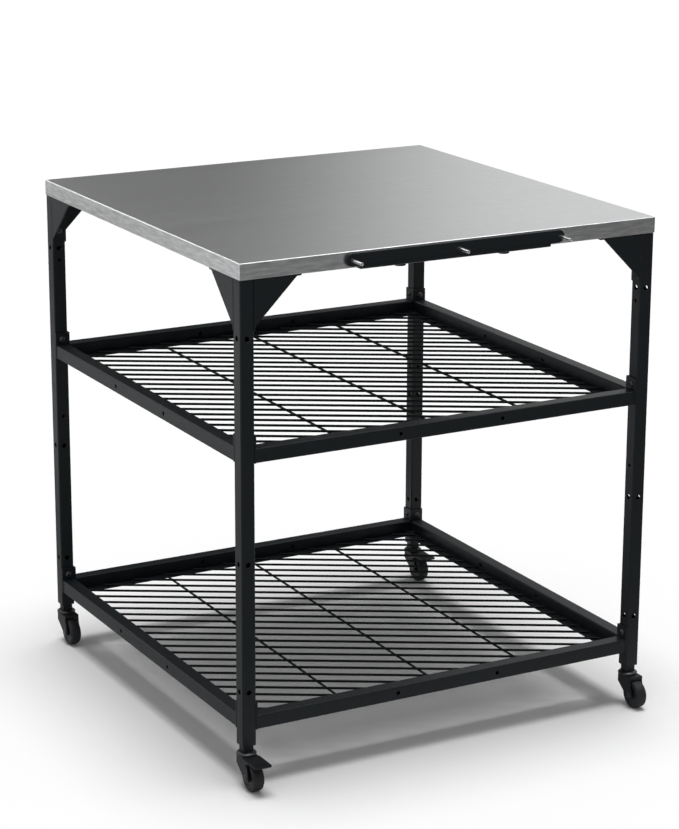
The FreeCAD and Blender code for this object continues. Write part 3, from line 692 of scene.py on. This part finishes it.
# %% Build the fastener tree
scatter, scatter_in, scatter_out = new_group(
    "aimed copies", "GeometryNodeTree",
    [("Places", GEOMETRY, None), ("Pattern", OBJECT, None), ("Material", MATERIAL, None)],
    [("Geometry", GEOMETRY)])
pattern = add_node(scatter, "GeometryNodeObjectInfo", {"Object": scatter_in["Pattern"]})
way = add_node(scatter, "GeometryNodeInputNamedAttribute", {"Name": "aim"}, data_type="FLOAT_VECTOR")
turned = add_node(scatter, "FunctionNodeAlignRotationToVector", {"Vector": way.outputs[0]}, axis="Z")
copies = add_node(scatter, "GeometryNodeInstanceOnPoints",
                  {"Points": scatter_in["Places"], "Instance": pattern.outputs["Geometry"],
                   "Rotation": turned.outputs[0]})
solid = add_node(scatter, "GeometryNodeRealizeInstances", {0: copies.outputs[0]})
painted = add_node(scatter, "GeometryNodeSetMaterial",
                   {"Geometry": solid.outputs[0], "Material": scatter_in["Material"]})
scatter.links.new(painted.outputs[0], scatter_out["Geometry"])


def dress_copies(name, shape, places, material, nodes):
    """One dressed mesh of copies of a shape on (place, direction) pairs."""
    host = drawn(name, [p for p, _ in places])
    ways = [c for _, d in places for c in Vector(d).normalized()]
    host.data.attributes.new("aim", "FLOAT_VECTOR", "POINT").data.foreach_set("vector", ways)
    apply_tree(host, scatter, {"Pattern": shape, "Material": material})
    bpy.data.objects.remove(shape)
    dress(host, material, nodes)
    print(name, len(places), "copies,", len(host.data.polygons), "faces")


print("fastener tree has", len(scatter.nodes), "nodes")

# %% Place the button head bolts
HEAD_R, HEAD_H, SOCKET_R, SOCKET_DEEP = 5.5, 3.2, 2.3, 1.8
ANGLE_THICK, GUSSET_THICK, BOLT_END = 3.0, 2.5, 8.0

dome = [(HEAD_R * math.sin(math.radians(a)), HEAD_H * math.cos(math.radians(a)) ** 0.8) for a in (75, 60, 45, 33)]
bolt = as_object("bolt", lathe([(0, -BOLT_END), (BOLT_R, -BOLT_END), (BOLT_R, 0), (HEAD_R, 0), (HEAD_R, 0.4), *dome,
                                (SOCKET_R + 0.2, HEAD_H), (0, HEAD_H)], 24))
even_shading(carve(bolt, rod(SOCKET_R, HEAD_H - SOCKET_DEEP, HEAD_H + 1, 6)), 45)
places = []
for sx, sy in CORNERS.values():
    for z in (*ANGLE_BOLTS, GUSSET_BOLT):
        seat = LEG_IN - (GUSSET_THICK if z == GUSSET_BOLT else ANGLE_THICK)
        places.append((here(sx * seat, sy * LEG_MID, z), (-sx, 0, 0)))
        places.append((here(sx * LEG_MID, sy * seat, z), (0, -sy, 0)))
dress_copies("button_bolts", bolt, places, OXIDE, ["frame_bolts"])

# %% Place the worktop screws
SCREW_HEAD_R, SCREW_HEAD_H, SCREW_R, SCREW_LONG, SCREW_X = 4.6, 2.4, 2.5, 8.5, 322.0
screw_profile = [(0, -SCREW_LONG), (SCREW_R - 1, -SCREW_LONG), (SCREW_R, 1 - SCREW_LONG), (SCREW_R, 0),
                 (SCREW_HEAD_R, 0), (SCREW_HEAD_R, 1.0), (SCREW_HEAD_R * 0.85, 1.9),
                 (SCREW_HEAD_R * 0.55, SCREW_HEAD_H), (0, SCREW_HEAD_H)]
screw = even_shading(as_object("screw", lathe(screw_profile, 20)), 45)
places = [(turn_about_table(turn) @ here(x, -LEG_MID, LIP - GUSSET_THICK), (0, 0, -1))
          for turn in SIDE_TURNS.values() for x in (-SCREW_X, SCREW_X)]
dress_copies("worktop_screw_heads", screw, places, OXIDE, ["worktop_screws"])

# %% [markdown]
# ## The tool bar
#
# A bar with round ends hangs on the front edge. Behind it a folded clamp plate runs under the
# worktop, and two fluted hand screws pull it up. Three bright pegs carry the tools. The bar's face
# is flat with an eased rim, so its outline is drawn once and skinned with a small chamfer.

# %% Shape the bar and its clamp
BAR_HALF, BAR_R, BAR_THICK, BAR_Z, BAR_FACE, BAR_EASE, BAR_BACK_EASE = 210.0, 11.0, 6.0, 886.3, -406.0, 1.0, 0.4
CLAMP_HALF, CLAMP_DEEP, CLAMP_THICK, CLAMP_RISE, CLAMP_FOLD = 183.0, 34.0, 2.5, 2.0, 1.5


def bar_outline(shrink):
    """(x, z) points round the bar, drawn in by shrink."""
    end, radius = BAR_HALF - BAR_R, BAR_R - shrink
    return arc(end, BAR_Z, radius, -90, 90, 24) + arc(-end, BAR_Z, radius, 90, 270, 24)


steps = [(BAR_EASE, 0.0), (BAR_EASE * 0.3, BAR_EASE * 0.3), (0.0, BAR_EASE),
         (0.0, BAR_THICK - BAR_BACK_EASE), (BAR_BACK_EASE, BAR_THICK)]
bar = skin([[here(x, BAR_FACE + back, z) for x, z in bar_outline(shrink)] for shrink, back in steps], capped=True)
back_low, plate_low, plate_end = BAR_Z - BAR_R + CLAMP_RISE, LIP - CLAMP_THICK, BAR_FACE + CLAMP_DEEP
section = [(BAR_FACE, LIP), (BAR_FACE, back_low), (-HALF_TOP, back_low), (-HALF_TOP, LIP), (plate_end, LIP),
           (plate_end, plate_low), (BAR_FACE + CLAMP_THICK, plate_low), (BAR_FACE, plate_low + CLAMP_FOLD)]
clamp = skin([[here(x, y, z) for y, z in section] for x in (-CLAMP_HALF, CLAMP_HALF)], capped=True)
clamp = as_bmesh(ease_edges(as_object("clamp", clamp), 0.5))
tool_bar = even_shading(as_object("front_bar", gather([bar, clamp])), 50)
dress(tool_bar, POWDER, ["tool_bar"])
print("bar faces", len(tool_bar.data.polygons))

# %% Turn the pegs and the hand screws
PEG_R, PEG_LONG, PEG_PITCH = 3.0, 34.0, 200.0
peg_profile = [(0, -4.0), (2.5, -4.0), (2.5, 0.0), (PEG_R, 0.0), (PEG_R, PEG_LONG - 0.6),
               (PEG_R - 0.2, PEG_LONG - 0.2), (PEG_R - 0.6, PEG_LONG), (1.9, PEG_LONG), (1.6, PEG_LONG - 0.5),
               (1.2, PEG_LONG - 0.8), (0, PEG_LONG - 0.9)]
peg = even_shading(as_object("peg", lathe(peg_profile, 28)))
places = [(here(k * PEG_PITCH, BAR_FACE, BAR_Z), (0, -1, 0)) for k in (-1, 0, 1)]
dress_copies("bright_pegs", peg, places, PIN_STEEL, ["tool_pegs"])

KNOB_R, KNOB_H, KNOB_FLUTES, FLUTE, KNOB_X, KNOB_BACK, KNOB_SCREW = 10.5, 5.0, 16, 0.9, 100.0, 13.0, 14.0


def knob_ring(radius, z, flute):
    """A ring with rounded flutes."""
    points = []
    for i in range(KNOB_FLUTES * 6):
        a = 2 * math.pi * i / (KNOB_FLUTES * 6)
        r = radius - flute * (0.5 - 0.5 * math.cos(a * KNOB_FLUTES)) ** 2
        points.append((r * MM * math.cos(a), r * MM * math.sin(a), z * MM))
    return points


knob_rows = [(2.0, -KNOB_SCREW, 0), (3.0, 1 - KNOB_SCREW, 0), (3.0, 0, 0), (9.4, 0, 0), (10.1, 0.3, 0.6),
             (KNOB_R, 1.0, FLUTE), (KNOB_R, KNOB_H - 1, FLUTE), (10.0, KNOB_H - 0.25, 0.6),
             (9.3, KNOB_H, 0.1), (6.5, KNOB_H, 0), (6.1, KNOB_H - 0.5, 0)]
rings = [[(0, 0, -KNOB_SCREW * MM)], *[knob_ring(*row) for row in knob_rows], [(0, 0, (KNOB_H - 0.5) * MM)]]
knob = even_shading(as_object("knob", skin(rings)), 50)
places = [(here(x, KNOB_BACK - HALF_TOP, LIP - CLAMP_THICK), (0, 0, -1)) for x in (-KNOB_X, KNOB_X)]
dress_copies("fluted_hand_screws", knob, places, PLASTIC, ["hand_screw_left", "hand_screw_right"])

# %% [markdown]
# ## The casters
#
# A caster is a leg plug with a stem, a domed cap, a fork that swivels under it and a wheel that
# trails behind. Cap, hub, tyre and axle are round, so each is a skin over circles. All is drawn
# about one swivel axis and copied to the four corners later.

# %% Turn the cap, the hub, the tyre and the axle
CAP_R, CAP_LOW, CAP_TOP, STEM_TOP, KINGPIN_R, PLAY = 17.3, 57.8, 63.5, 98.0, 3.0, 0.05
WHEEL_R, RIM_R, TRAIL, AXLE_R = 25.0, 17.0, 25.0, 3.0

stem_profile = [(0, 50.2), (5.0, 50.2), (5.8, 50.5), (5.8, 51.4), (KINGPIN_R, 51.4), (KINGPIN_R, CAP_LOW),
                (CAP_R - 0.5, CAP_LOW), (CAP_R, CAP_LOW + 0.5), (CAP_R, CAP_LOW + 2.0), (CAP_R - 0.3, CAP_LOW + 2.6),
                (CAP_R - 1.0, CAP_LOW + 3.2), (CAP_R - 2.4, CAP_LOW + 4.2), (CAP_R - 4.4, CAP_LOW + 5.0),
                (CAP_R - 7.0, CAP_TOP - 0.2), (6.0, CAP_TOP), (5.0, CAP_TOP), (5.0, STEM_TOP - 1), (4.0, STEM_TOP),
                (0, STEM_TOP)]
stem = even_shading(as_object("stem", lathe(stem_profile, 64)))


def across(bm, y, z, x=0.0, way=1):
    """Lays a turned form along X at a place in millimetres, pointing right or left."""
    return moved(bm, Matrix.Translation((x * MM, y * MM, z * MM)) @ aim((way, 0, 0)))


def on_axle(half, sides, closed=False):
    """A form turned about the axle, from the right half of its profile as (radius, reach) points."""
    return across(lathe(half + [(r, -x) for r, x in reversed(half)], sides, closed), -TRAIL, WHEEL_R)


hub_half = [(AXLE_R + PLAY, 10.6), (5.0, 10.6), (5.6, 10.2), (6.2, 9.2), (7.4, 8.7), (10.5, 8.5), (13.6, 8.7),
            (14.6, 9.0), (15.2, 9.5), (15.8, 9.6), (RIM_R, 9.3)]
hub = even_shading(as_object("hub", on_axle(hub_half, 64, closed=True)))
tyre_half = [(RIM_R, 9.3), (18.2, 9.9), (20.5, 10.0), (22.3, 9.6), (23.6, 8.6), (24.4, 7.0), (24.8, 4.5),
             (24.97, 2.0), (WHEEL_R, 0.25)]
tyre = even_shading(as_object("tyre", on_axle(tyre_half, 96, closed=True)))
axle_half = [(0, 15.6), (2.6, 15.5), (4.0, 15.1), (4.8, 14.5), (5.0, 14.0), (AXLE_R, 14.0)]
axle = even_shading(as_object("axle", on_axle(axle_half, 40)))
print("turned caster pieces", [len(o.data.polygons) for o in (stem, hub, tyre, axle)])

# %% [markdown]
# ### The fork
#
# The fork is one moulded shell: a hood under the cap and two cheeks that hold the axle. It is drawn
# as a thick side view, cut down to its plan and then hollowed, because both views are simple
# outlines even where the shell itself is not.

# %% Mould the forks
FORK_HALF, FORK_IN, FORK_TOP, FORK_ROOF, FORK_BACK, FORK_FRONT, BOSS_R = 14.0, 11.0, 57.5, 51.5, 15.0, 27.0, 8.0
HOOD_R, PEDAL_BACK, PIVOT_Y, PIVOT_Z, PIVOT_R = 17.0, 17.8, -22.0, 49.0, 2.0
BACK_WALL, BACK_DEEP, FRONT_LIP, PEDAL_GAP = 3.0, 12.0, 3.0, 0.3
FAR, ASIDE = 60.0, 20.0  # past everything on a caster, so that a cutter reaches right through


def tangent_turn(outside, side):
    """The angle in degrees at which a line from outside touches the boss about the axle."""
    dx, dy = outside[0] + TRAIL, outside[1] - WHEEL_R
    return math.degrees(math.atan2(dy, dx) + side * math.acos(BOSS_R / math.hypot(dx, dy)))


def fork_side():
    """(y, z) points of the fork's side view."""
    back, front = (FORK_BACK, FORK_TOP - BACK_DEEP), (-FORK_FRONT, FORK_ROOF - FRONT_LIP)
    first, last = tangent_turn(back, -1), tangent_turn(front, 1)
    if last > first:
        last -= 360
    boss = arc(-TRAIL, WHEEL_R, BOSS_R, first, last, 20)
    return [(-FORK_FRONT, FORK_TOP), (FORK_BACK, FORK_TOP), back, *boss, front]


def block(outline, axis, low, high):
    """An outline in the plane across an axis, thickened along it from low to high."""
    rings = [[Vector((level, p, q) if axis == "X" else (p, q, level)) * MM for p, q in outline]
             for level in (low, high)]
    return skin(rings, capped=True)


def box(half, y0, y1, z0, z1):
    """A plain block, as wide to the left of the middle as to the right."""
    return block([(-half, y0), (half, y0), (half, y1), (-half, y1)], "Z", z0, z1)


def fork(braked):
    body = as_object("fork", block(fork_side(), "X", -FORK_HALF, FORK_HALF))
    edge, wide = math.degrees(math.asin(FORK_HALF / HOOD_R)), FORK_HALF + 1
    plan = [(-wide, -FAR), (wide, -FAR), (wide, 9), *arc(0, 0, HOOD_R, 90 - edge, 90 + edge, 24), (-wide, 9)]
    carve(body, block(plan, "Z", 0, FAR), "INTERSECT")
    carve(body, box(FORK_IN, -FAR, FORK_BACK - BACK_WALL, 0, FORK_ROOF))
    if braked:
        carve(body, box(ASIDE, -FAR, PEDAL_GAP - PEDAL_BACK, PIVOT_Z + 4, FAR))
        carve(body, box(FORK_IN, -FAR, PEDAL_GAP - PEDAL_BACK, FORK_ROOF - 1, FAR))
        carve(body, across(rod(PIVOT_R + PLAY, -ASIDE, ASIDE), PIVOT_Y, PIVOT_Z))
    ease_edges(body, 0.7, angle=30)
    carve(body, across(rod(AXLE_R, -ASIDE, ASIDE), -TRAIL, WHEEL_R))
    return even_shading(carve(body, rod(KINGPIN_R + PLAY, 45, FAR)))


plain_fork, braked_fork = fork(False), fork(True)
print("fork faces", len(plain_fork.data.polygons), len(braked_fork.data.polygons))

# %% [markdown]
# ### The brake pedal
#
# The pedal is a ribbed plate on two cheeks that pivot in the fork. It is joined from plain blocks
# before its edges are eased, so the rounding runs over the joins as it does on a moulded piece. The
# ribs come last, since their own edges are finer.

# %% Mould the brake pedal
PEDAL_TIP, PEDAL_TOP, PEDAL_THICK, PEDAL_CORNER, CHEEK_IN, CHEEK, CHEEK_R = 65.0, 57.3, 2.8, 3.5, 14.2, 1.5, 4.2
PEDAL_HALF, PEDAL_LOW = CHEEK_IN + CHEEK, PEDAL_TOP - PEDAL_THICK
STOP_HALF, STOP_FRONT, STOP_BACK, STOP_LOW, CHEEK_FRONT = 8.0, -32.0, -26.0, 51.8, -36.0
PIN_IN, PIN_LONG, RIBS, RIB_PITCH, RIB_WIDE, RIB_IN = 11.2, 3.2, 5, 3.0, 1.2, 4.0

r = PEDAL_CORNER
plan = [(PEDAL_HALF, -PEDAL_BACK), (-PEDAL_HALF, -PEDAL_BACK), *arc(r - PEDAL_HALF, r - PEDAL_TIP, r, 180, 270, 6),
        *arc(PEDAL_HALF - r, r - PEDAL_TIP, r, 270, 360, 6)]
cheek = arc(PIVOT_Y, PIVOT_Z, CHEEK_R, 180, 360, 12)
cheek += [(-PEDAL_BACK, PEDAL_LOW + 1), (CHEEK_FRONT, PEDAL_LOW + 1), (CHEEK_FRONT, PEDAL_LOW - 0.6)]
pedal = as_object("pedal", block(plan, "Z", PEDAL_LOW, PEDAL_TOP))
carve(pedal, box(STOP_HALF, STOP_FRONT, STOP_BACK, STOP_LOW, PEDAL_LOW + 1), "UNION")
for s in (-1, 1):
    carve(pedal, block(cheek, "X", s * CHEEK_IN, s * PEDAL_HALF), "UNION")
    carve(pedal, across(rod(PIVOT_R, 0, PIN_LONG, 24), PIVOT_Y, PIVOT_Z, s * PIN_IN, s), "UNION")
ease_edges(pedal, 0.5, angle=30)
rib_y = [RIB_IN - PEDAL_TIP + RIB_PITCH * k for k in range(RIBS)]
ribs = gather([box(PEDAL_HALF - RIB_IN, y, y + RIB_WIDE, PEDAL_TOP - 0.5, PEDAL_TOP + 0.5) for y in rib_y])
carve(pedal, as_bmesh(ease_edges(as_object("ribs", ribs), 0.3)), "UNION")
even_shading(pedal)
print("pedal faces", len(pedal.data.polygons))

# %% [markdown]
# ### Four casters from one
#
# A plug closes the leg's end and carries the stem. The patterns share one swivel axis, so a caster
# is a set of copies moved to its leg, and two of the four take a pedal.

# %% Mould the plug and set up the four casters
NECK_HALF, PLUG_HALF, PLUG_LONG = 9.25, 10.9, 30.0
neck = [[Vector((x, y, z)) * MM for x, y in rounded_square(half, radius)]
        for half, radius, z in ((NECK_HALF, 1.6, CAP_TOP), (NECK_HALF, 1.6, LEG_FOOT), (PLUG_HALF, 1.0, LEG_FOOT),
                                (PLUG_HALF, 1.0, LEG_FOOT + PLUG_LONG))]
plug = even_shading(as_object("plug", skin(neck, capped=True)))

for corner, (sx, sy) in CORNERS.items():
    there, braked = move_to(sx * LEG_MID, sy * LEG_MID, 0), corner in ("front_left", "back_right")
    swivel, wheel = f"swivel_{corner}", f"wheel_{corner}"
    pieces = [(plug, "plug", "leg_plug", PLASTIC, "black_plastic", "table"),
              (stem, "cap", "caster_stem", CAP_STEEL, "black_steel", "table"),
              (braked_fork if braked else plain_fork, "fork", "caster_fork", PLASTIC, "black_plastic", swivel),
              (axle, "axle", "wheel_axle", AXLE_STEEL, "axle_steel", swivel),
              (hub, "hub", "wheel_hub", PLASTIC, "black_plastic", wheel),
              (tyre, "tyre", "wheel_tyre", TREAD, "black_tyre", wheel)]
    if braked:
        pieces.append((pedal, "pedal", "brake_pedal", PLASTIC, "black_plastic", f"pedal_{corner}"))
    for shape, name, node, material, slot, body in pieces:
        dress(copy_of(shape, f"{name}_{corner}", there), material, [f"{node}_{corner}"], body)
for shape in (plug, stem, plain_fork, braked_fork, axle, hub, tyre, pedal):
    bpy.data.objects.remove(shape)
print("pieces", len(dressed))

# %% [markdown]
# ## Nodes that stay
#
# The stiffeners under the sheet and the two nuts on its lip have the right shape already and are
# only seen from below, so they keep their CAD meshes and get the same finishes.

# %% Finish the carried-over nodes
for node, material in (("worktop_stiffeners", STAINLESS), ("weld_nuts", ZINC)):
    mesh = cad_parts[node].data
    mesh.materials.clear()
    mesh.materials.append(material)
print("kept nodes", [n for n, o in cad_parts.items() if not o.hide_render])

# %% [markdown]
# ## Floor and glowing cards
#
# The table stands on a white floor in a bright, soft room. Metal shows little of its own colour
# and mostly what it reflects, so a studio sets cards round it: dim ones keep black faces deep, and
# bright ones draw the light lines along folded edges. A card here is a plane that only glossy
# rays see, and its glow can run from dim to bright, which gives the brushed top its slow change
# from dark to light. Each card lies where the faces it serves would mirror it to the camera.

# %% Lay the floor and the cards
FLOOR_HALF, JUST_ABOVE = 30.0, 0.004


def plain_diffuse(name, colour):
    made = bpy.data.materials.new(name)
    made.use_nodes = True
    shader = made.node_tree.nodes["Principled BSDF"]
    shader.inputs["Base Color"].default_value = colour
    shader.inputs["Roughness"].default_value = 0.9
    shader.inputs["Specular IOR Level"].default_value = 0.0
    return made


def stage_plane(name, corners, material):
    plane = drawn(name, corners, faces=[range(len(corners))])
    plane.data.materials.append(material)
    plane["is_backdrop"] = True
    return plane


def glowing_card(name, corners, dim, bright, low=0.0, high=1.0, axis=0):
    """A card that only glossy rays see; its glow runs from dim to bright along X (0) or Y (1)."""
    made = plain_diffuse(f"{name} glow", grey(0.0))
    tree = made.node_tree
    place = add_node(tree, "ShaderNodeTexCoord").outputs["Object"]
    along = add_node(tree, "ShaderNodeSeparateXYZ", {0: place}).outputs[axis]
    ramp = add_node(tree, "ShaderNodeMapRange", {0: along, 1: low, 2: high, 3: dim, 4: bright},
                    interpolation_type="SMOOTHSTEP")
    shader = tree.nodes["Principled BSDF"]
    shader.inputs["Emission Color"].default_value = grey(1.0)
    tree.links.new(ramp.outputs[0], shader.inputs["Emission Strength"])
    card = stage_plane(name, corners, made)
    card.visible_camera = card.visible_diffuse = False
    card.visible_shadow = card.visible_transmission = False


def flat(x0, x1, y0, y1, z=JUST_ABOVE):
    """Corners of a level card, which lies just above the floor unless a height is given."""
    return [(x, y, z) for x, y in ((x0, y0), (x1, y0), (x1, y1), (x0, y1))]


def upright(x0, x1, y, z0, z1):
    """Corners of a card that stands across the table's depth."""
    return [(x, y, z) for x, z in ((x0, z0), (x1, z0), (x1, z1), (x0, z1))]


stage_plane("floor", flat(-FLOOR_HALF, FLOOR_HALF, -FLOOR_HALF, FLOOR_HALF, 0.0),
            plain_diffuse("floor white", grey(0.96)))
glowing_card("front_card", [(-1.2, -4.0, 0.0), (5.0, -1.5, 0.0), (5.0, -1.5, 4.0), (-1.2, -4.0, 4.0)],
             0.30, 0.18, 0.5, 2.5)
front_floor = ((-1.2, -4.0), (5.0, -1.5), (2.5, -0.5), (-1.0, -0.65))
glowing_card("front_floor_card", [(x, y, JUST_ABOVE) for x, y in front_floor], 0.30, 0.18, 0.5, 2.5)
glowing_card("back_card", upright(0.15, 3.5, 2.6, 1.66, 4.0), 0.10, 0.84, 0.9, 2.4)
glowing_card("rail_card", upright(0.15, 3.5, 2.6, 1.34, 1.66), 0.06, 1.45, 1.0, 2.0)
glowing_card("low_back_card", upright(-0.5, 3.5, 2.6, 0.0, 1.34), 0.02, 0.22, 0.9, 2.2)
glowing_card("back_floor_card", flat(-0.2, 3.0, 0.9, 2.6), 0.10, 0.10)
glowing_card("left_floor_card", flat(-4.0, -1.45, 1.45, 5.0), 2.2, 0.2, 2.3, 2.75, axis=1)
glowing_card("left_rail_card", flat(-1.45, -0.95, 1.45, 5.0), 0.30, 0.30)
glowing_card("near_left_card", flat(-4.0, -0.95, -0.6, 1.45), 0.58, 0.58)
glowing_card("low_left_card", flat(-0.95, -0.45, -0.6, 1.45), 0.43, 0.43)
glowing_card("left_edge_card", upright(-0.7, 0.0, 2.6, 2.1, 2.9), 6.5, 6.5)
glowing_card("front_edge_card", flat(0.3, 1.6, -1.7, -0.6, 2.6), 4.5, 4.5)
print("floor and cards laid")

# %% [markdown]
# ## Lamps
#
# One wide sun from almost straight above gives the soft shadow under the shelves. The sky is white
# for what the eye or a mirror sees, and dimmer as a lamp, so the floor keeps that shadow.

# %% Light the room
SUN_STRENGTH, SUN_ANGLE, SKY_LIGHT = 2.32, 31.0, 0.33
sun = bpy.data.lights.new("overhead", "SUN")
sun.energy = SUN_STRENGTH
sun.angle = math.radians(SUN_ANGLE)
in_scene("overhead", sun).rotation_euler = (math.radians(-0.2), math.radians(1.2), 0)

world = bpy.data.worlds.new("white room")
bpy.context.scene.world = world
world.use_nodes = True
sky = world.node_tree
sky.nodes.clear()
path = add_node(sky, "ShaderNodeLightPath").outputs
seen = calc(sky, "MAXIMUM", calc(sky, "MAXIMUM", path["Is Camera Ray"], path["Is Glossy Ray"]),
            path["Is Transmission Ray"])
lamp = add_node(sky, "ShaderNodeBackground", {0: grey(1.0), 1: SKY_LIGHT})
white = add_node(sky, "ShaderNodeBackground", {0: grey(1.0), 1: 1.0})
either = add_node(sky, "ShaderNodeMixShader", {0: seen, 1: lamp.outputs[0], 2: white.outputs[0]})
add_node(sky, "ShaderNodeOutputWorld", {0: either.outputs[0]})
print("lights ready")

# %% [markdown]
# ## The camera
#
# The photograph was taken from the front left, well above the worktop, through a long lens. The
# camera looks at a point inside the frame from that direction, with a very slight roll.

# %% Set the camera
AZIMUTH, ELEVATION, ROLL, LENS = -28.727, 15.984, 0.222, 111.606
AIM_AT, DISTANCE = here(-14.5, -27.6, 507.0), 4.6548
az, el = math.radians(AZIMUTH), math.radians(ELEVATION)
back = Vector((math.sin(az) * math.cos(el), -math.cos(az) * math.cos(el), math.sin(el)))
right = Z_AXIS.cross(back).normalized()
above = back.cross(right)
s, c = math.sin(math.radians(ROLL)), math.cos(math.radians(ROLL))
right, above = right * c + above * s, above * c - right * s
camera = bpy.data.cameras.new("camera")
camera.lens = LENS
camera.sensor_width = 36.0
camera_object = in_scene("camera", camera)
turn = Matrix((right, above, back)).transposed().to_4x4()
camera_object.matrix_world = Matrix.Translation(AIM_AT + back * DISTANCE) @ turn
bpy.context.scene.camera = camera_object
bpy.context.scene.view_settings.view_transform = "Standard"
print("camera at", [round(v, 3) for v in camera_object.location])

# %% [markdown]
# ## Handing over
#
# The dressed table should fill the same room as the CAD model, so the cell prints how far its box
# grows past the CAD box, in millimetres.

# %% Compare the size with the CAD model
dressed_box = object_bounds()
grown = [*(cad_box[0] - dressed_box[0]), *(dressed_box[1] - cad_box[1])]
print("grown by mm", [round(1000 * v, 2) for v in grown])
